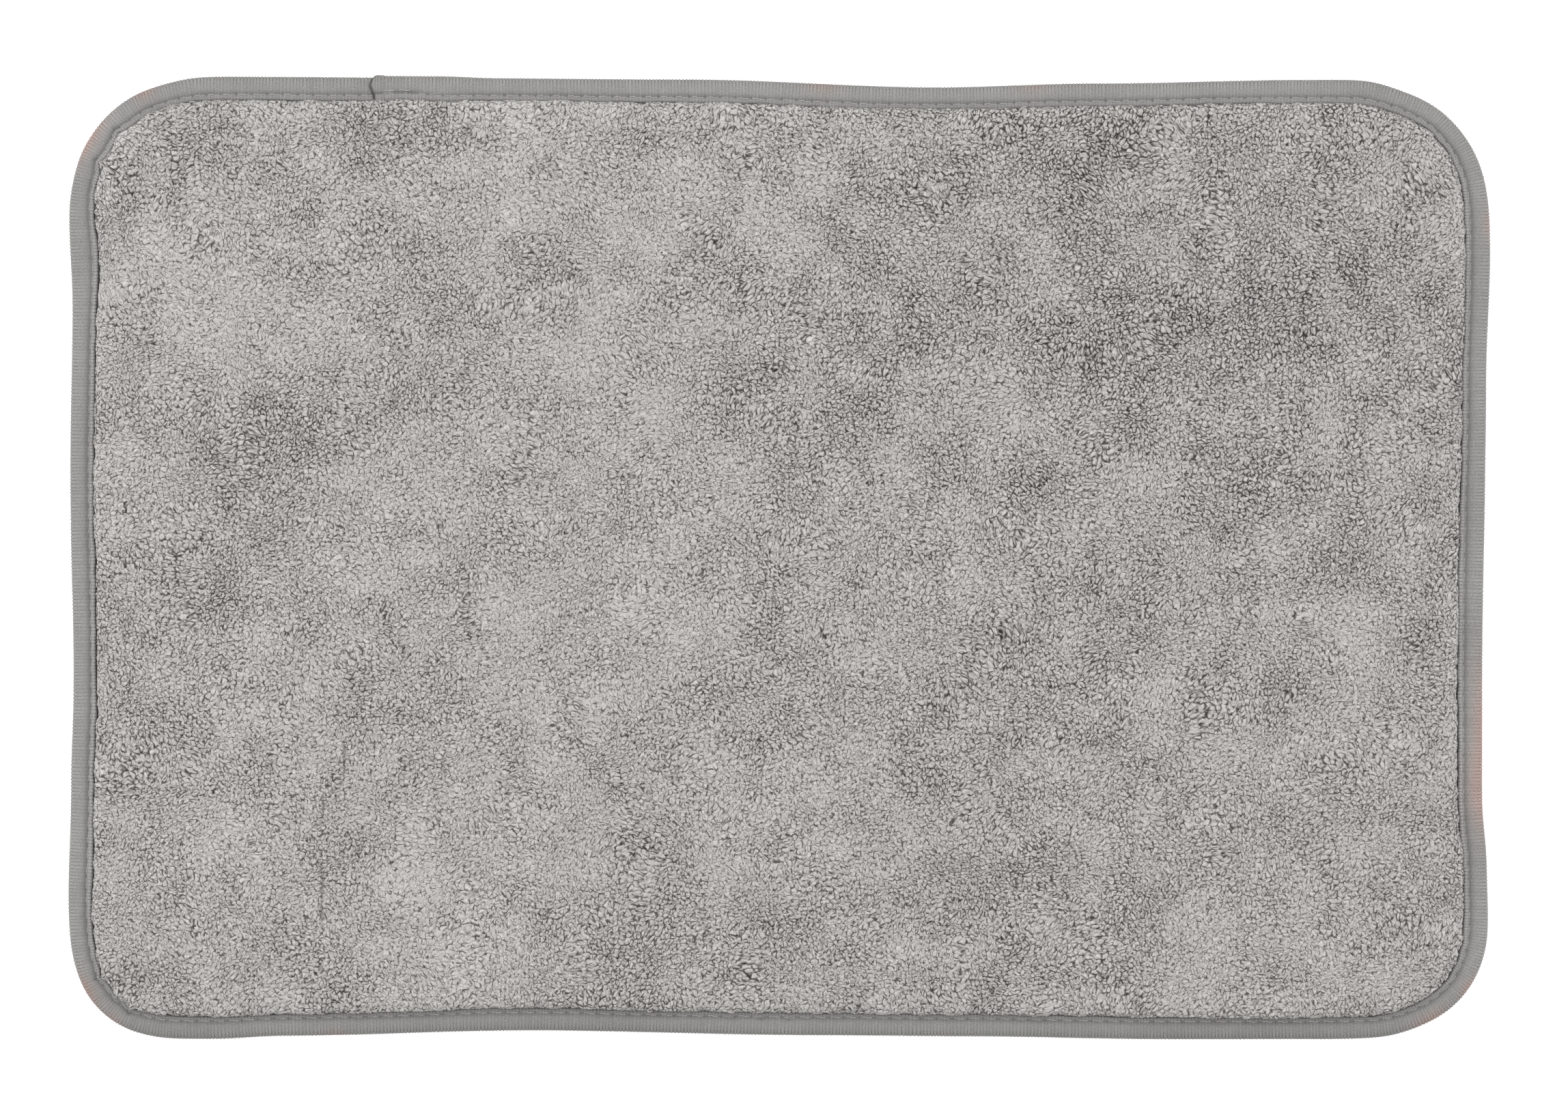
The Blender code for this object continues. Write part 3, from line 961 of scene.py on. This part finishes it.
def by_side(place, far, left, near, right):
    """A value for each side of the mat, which passes smoothly from one to the next at the corners."""
    _, inward = on_outline(place)
    x, y = inward[..., 0], inward[..., 1]
    return (
        far * np.clip(-y, 0, 1) ** 2 + left * np.clip(x, 0, 1) ** 2
        + near * np.clip(y, 0, 1) ** 2 + right * np.clip(-x, 0, 1) ** 2)


# Where the seam lies further in for a while, as (x, y, how far in, reach along the edge).
DRAWS = ((-298, 128, 1.5, 24), (-190, 200, 0.3, 20), (-158, 200, -0.5, 8))
# Where the gathered tape's seam is drawn back to a cusp, as (x, y, how far back, reach along the edge).
CUSPS = (
    (-279, 179, 3.2, 4.5), (-288, 167, 3.2, 3.5), (-286, -177, 2.6, 3.0), (-280, -186, 1.4, 2.5),
    (-273, -190, 3.0, 3.0), (-21, -201, 1.2, 2.5), (-8, -201, 1.5, 2.5), (4, -201, 1.5, 2.5),
    (261, 188, 0.8, 3.0), (283, 170, 0.6, 4.0), (283, -178, 0.8, 4.0), (250, -196, 0.8, 3.0),
)


def seam_draw(place):
    """How much further in than its mean the seam lies."""
    cusps = 0.0
    for x, y, depth, reach in CUSPS:
        away = away_from(place, x, y)
        cusps = cusps + depth * (np.exp(-np.abs(away) / reach) - 0.40 * bump(away, 3 * reach))
    draws = sum(draw * bump(away_from(place, x, y), reach) for x, y, draw, reach in DRAWS)
    return (
        by_side(place, -0.2, 0.0, -0.3, 0.3) + draws + 0.20 * wander(place, 55, 81)
        + 0.10 * wander(place, 17, 82) - 0.75 * cusps - LAP_SLIP * smoothstep(TURN - 2, TURN + 9, place))


def inner_edge_draw(place):
    """How much further in than its mean the tape's inner edge lies."""
    return (
        seam_draw(place % TURN) + by_side(place, -0.4, -0.5, -0.8, -0.4)
        + 0.30 * wander(place, 5, 83) + 0.20 * wander(place, 23, 84))


def tape_surface(place, inset, height, normal_inset, normal_height, upper):
    """Moves the tape's smooth section to the folded, ribbed and sewn tape's: returns its inset, its
    height, and what the material reads: how light or dark it is, with painted light and shade, the ribs'
    phase and how deep the ribs are."""
    across = inset
    sides = by_side(place, 0.0, 1.0, 0.6, 1.0)
    strip = smoothstep(SEAM_INSET, SEAM_INSET + STRIP_FADE, across)
    drawn = seam_draw(place) * smoothstep(1.5, SEAM_INSET, across)
    inset = across + drawn * (1 - strip * upper) + inner_edge_draw(place) * strip * upper

    depth = (0.22 + 0.68 * bump(across, 3.0)) * (1 - strip) + (0.30 + 0.55 * sides) * strip
    depth = depth * (1 - 0.55 * bump(across - 6.2, 1.5))
    phase = (
        place / RIB_PITCH + 0.35 * wander(place, 16, 86) + 0.13 * wander(place, 2.6, 93)
        + 0.03 * across * wander(place, 40, 87))
    rib = np.abs(np.cos(math.pi * phase)) - 0.64
    rib_size = (0.06 + 0.12 * depth + 0.26 * bump(across, 1.1)) * (
        0.9 + 0.45 * wander(place, RIB_PITCH, 88))

    hole = bump(near_stitch(place), 0.55) * (1 - 0.6 * sides)
    groove = bump(across - SEAM_INSET, 0.8)
    puff = np.cos(2 * math.pi * place / STITCH_PITCH) * bump(across - 5.6, 1.8)
    swell = 0.20 * wander(place, 24, 89) + 0.08 * wander(place, 9, 90)
    shift = (
        rib_size * rib
        - 0.18 * hole * groove
        - 0.08 * puff * upper
        + swell * bump(across - 3.5, 3.0) * upper
        + lap_lift(place))
    # Painted light and shade: each side is lighter or darker by how it faces the lamps, with painted
    # shade in the groove, at the needle holes, in the crevice at the inner edge and along the outer fold
    # of the far and near sides, and a painted highlight on the strip's crest, mostly on the short sides.
    # The wander is a random unevenness of the tape's colour.
    tone_and_shading = by_side(place, 0.95, 1.0, 0.86, 0.98) * (
        1.0 - by_side(place, 0.0, 0.03, 0.04, 0.08) * groove
        - 0.16 * (1 - 0.8 * sides) * bump(near_stitch(place), 0.5) * groove
        + 0.30 * sides * bump(across - 9.5, 0.8)
        - 0.5 * bump(across - TAPE_EDGE_INSET, 0.3) * (0.4 + 0.6 * sides)
        - by_side(place, 0.11, 0.0, 0.08, 0.0) * bump(across, 1.3)
        + 0.05 * wander(place, 30, 92))
    return (
        inset + normal_inset * shift, height + normal_height * shift, tone_and_shading, phase, 0.60 * depth)


# Faint rosy stains along the fold, as (x, y, reach along the edge, reach inwards, strength).
BLUSH_SPOTS = (
    (-278, 168, 11, 3.2, 0.9), (-262, 182, 5, 3.6, 0.7), (18, 199, 7, 4.0, 0.5),
    (107, 199, 6, 4.0, 0.4), (299, -70, 26, 4.2, 0.8), (299, -98, 16, 5.6, 0.9),
    (-283, -178, 8, 3.4, 0.9), (-276, -187, 4, 3.0, 0.6), (285, -178, 5, 2.8, 0.8),
    (272, -190, 8, 3.6, 0.8), (-188, -203, 5, 3.0, 0.4), (296, 140, 6, 2.8, 0.6),
)


def blush(place, inset):
    total = sum(
        strength * bump(away_from(place, x, y), reach) * bump(inset, reach_in)
        for x, y, reach, reach_in, strength in BLUSH_SPOTS)
    return np.clip(total, 0, 0.8)


def sections_at(place, inset, height):
    """Points from places along the edge, insets and heights."""
    edge, inward = on_outline(place)
    flat = edge + inward * inset[..., None]
    return np.concatenate([flat, height[..., None]], -1)


def make_tape():
    """One strip: its outer face is ribbed, its inner one plain, and it is closed at its ends."""
    end = TURN + LAP_LENGTH - END_BOW
    count = int(round(end / (RIB_PITCH / RIB_STEPS)))
    place = np.linspace(0, end, count)[:, None]
    outer = curve_through(TAPE_PROFILE, TAPE_ACROSS)
    normals = profile_normals(outer)
    upper = smoothstep(0.35 * TAPE_ACROSS, 0.5 * TAPE_ACROSS, np.arange(TAPE_ACROSS))
    bow = END_BOW * bump(outer[:, 0] - 3.8, 3.2) * upper
    outer_place = place + bow * smoothstep(end - 12, end, place)
    inset, height, tone_and_shading, phase, ribbing = tape_surface(
        outer_place, outer[None, :, 0], outer[None, :, 1], normals[None, :, 0], normals[None, :, 1],
        upper)
    folded_end = 0.35 * upper * smoothstep(end - 5, end - 3, place)
    folded_end = folded_end * (1 - 0.8 * smoothstep(end - 0.8, end, place))
    inset = inset + folded_end * normals[None, :, 0]
    height = height + folded_end * normals[None, :, 1]
    # Painted shadow: the tape is darkened just beyond the lapped end lying on it, and the end darkens
    # over its last 0.8 mm, as shade.
    lap_end_shadow = bump(place - bow - (end - TURN) - 0.4, 0.6) * (place < TURN / 2)
    tone_and_shading = tone_and_shading * (1 - 0.65 * lap_end_shadow) * (1 - 0.35 * smoothstep(end - 0.8, end, place))
    outer_points = sections_at(outer_place, inset, height)

    sparse = np.linspace(0, TAPE_ACROSS - 1, INNER_ACROSS).astype(int)[::-1]
    inner_place = outer_place[:, sparse]
    lift = lap_lift(inner_place) - TAPE_THICKNESS
    draw = inner_edge_draw(inner_place) * upper[sparse] * smoothstep(
        SEAM_INSET, SEAM_INSET + STRIP_FADE, outer[sparse, 0])
    inner_points = sections_at(
        inner_place, outer[sparse, 0] + normals[sparse, 0] * lift + draw,
        outer[sparse, 1] + normals[sparse, 1] * lift)

    sections = np.concatenate([outer_points, inner_points], 1)
    reach = reach_along(outer)
    across = np.concatenate([reach, reach[sparse]])[None, :]
    both_phases = np.concatenate([phase, phase[:, sparse]], 1)
    weave = np.stack(np.broadcast_arrays(both_phases, across, 0.0), -1)
    # The tape's inner faces, out of sight beneath it, are painted darker, as shade.
    hidden = np.zeros(inner_place.shape)
    tape = sweep("edge_tape", sections, tape_material(), {
        "tone_and_shading": np.concatenate([tone_and_shading, hidden + 0.6], 1),
        "weave": weave,
        "ribbing": np.concatenate([np.broadcast_to(ribbing, tone_and_shading.shape), hidden], 1),
        "blush": np.concatenate([blush(outer_place, inset), hidden], 1)})
    stand_in("binding_tape")


def tube(name, path, radius, material):
    """A two-ply thread: a tube whose section has two lobes, which turn along it."""
    sides = 8
    along = np.gradient(path, axis=0)
    along /= np.linalg.norm(along, axis=1)[:, None]
    side = np.cross(along, [0.0, 0.0, 1.0])
    side /= np.linalg.norm(side, axis=1)[:, None]
    top = np.cross(side, along)
    reach = reach_along(path)
    turn = np.arange(sides) * 2 * math.pi / sides
    ply = np.cos(2 * (turn[None, :] - 2 * math.pi * reach[:, None] / PLY_TURN))
    size = radius * (0.88 + 0.16 * ply)
    sections = (
        path[:, None]
        + side[:, None] * (size * np.cos(turn))[..., None]
        + top[:, None] * (size * np.sin(turn))[..., None])
    return sweep(name, sections, material, {"twist": ply}, map_rows=6)


def stitch_path(places, groove_height, side, slip):
    """A thread's route along the seam: over the tape between the needle holes, and down at each."""
    hole = bump(near_stitch(places), 0.75)
    sunk = by_side(places, 0.0, 0.30, 0.22, 0.30)
    inset = SEAM_INSET + seam_draw(places) + slip
    slant = 0.35 * near_stitch(places) / STITCH_PITCH
    height = groove_height + side * (lap_lift(places) + THREAD_RADIUS + 0.14 - sunk - 0.85 * hole)
    height = height + 0.7 * np.abs(slip) * (side > 0)
    return sections_at(places, inset + slant, height)


def make_threads():
    """Both threads go once round, and end with a few stitches back over the lap."""
    end = TURN + LAP_LENGTH - 3.0
    forward = np.arange(0.0, end, THREAD_STEP)
    back = np.arange(end, end - BACK_STITCHES, -THREAD_STEP)
    places = np.concatenate([forward, back])
    slip = np.concatenate([0 * forward, -LAP_SLIP * smoothstep(0, 2.5, end - back)])
    material = thread_material()
    for name, height, side, node in (
        ("seam_thread_upper", SEAM_HIGH, 1.0, "needle_thread"),
        ("seam_thread_lower", SEAM_LOW, -1.0, "bobbin_thread"),
    ):
        thread = tube(name, stitch_path(places, height, side, slip), THREAD_RADIUS, material)
        stand_in(node)


# ---------------- the studio

def add_floor():
    bpy.ops.mesh.primitive_plane_add(size=FLOOR_SIZE, location=(0.0, 0.0, -FLOOR_GAP))
    floor = bpy.context.object
    floor.name = "floor"
    floor.data.materials.append(floor_material())


def add_light(name, location, size, power):
    data = bpy.data.lights.new(name, "AREA")
    data.shape = "SQUARE"
    data.size = size
    data.energy = power
    light = linked(name, data)
    light.location = location
    light.rotation_euler = (-Vector(location)).to_track_quat("-Z", "Y").to_euler()


def add_lights():
    for light in LIGHTS:
        add_light(*light)
    world = bpy.data.worlds.new("studio")
    world.use_nodes = True
    background = world.node_tree.nodes["Background"]
    background.inputs["Color"].default_value = WHITE
    background.inputs["Strength"].default_value = WORLD_STRENGTH
    bpy.context.scene.world = world


def add_camera():
    data = bpy.data.cameras.new("camera")
    data.sensor_width = SENSOR_WIDTH
    data.lens = SENSOR_WIDTH * CAMERA_HEIGHT * MAT_SHARE_OF_WIDTH / (2 * HALF_LENGTH)
    data.clip_start = 0.01
    data.clip_end = 50.0
    camera = linked("camera", data)
    camera.location = (CAMERA_X * MM, CAMERA_Y * MM, CAMERA_HEIGHT * MM)
    bpy.context.scene.camera = camera


add_camera()
add_lights()
add_floor()
make_pile()
make_inner_layers()
make_dots()
make_tape()
make_threads()
bpy.context.scene.view_settings.view_transform = "Standard"
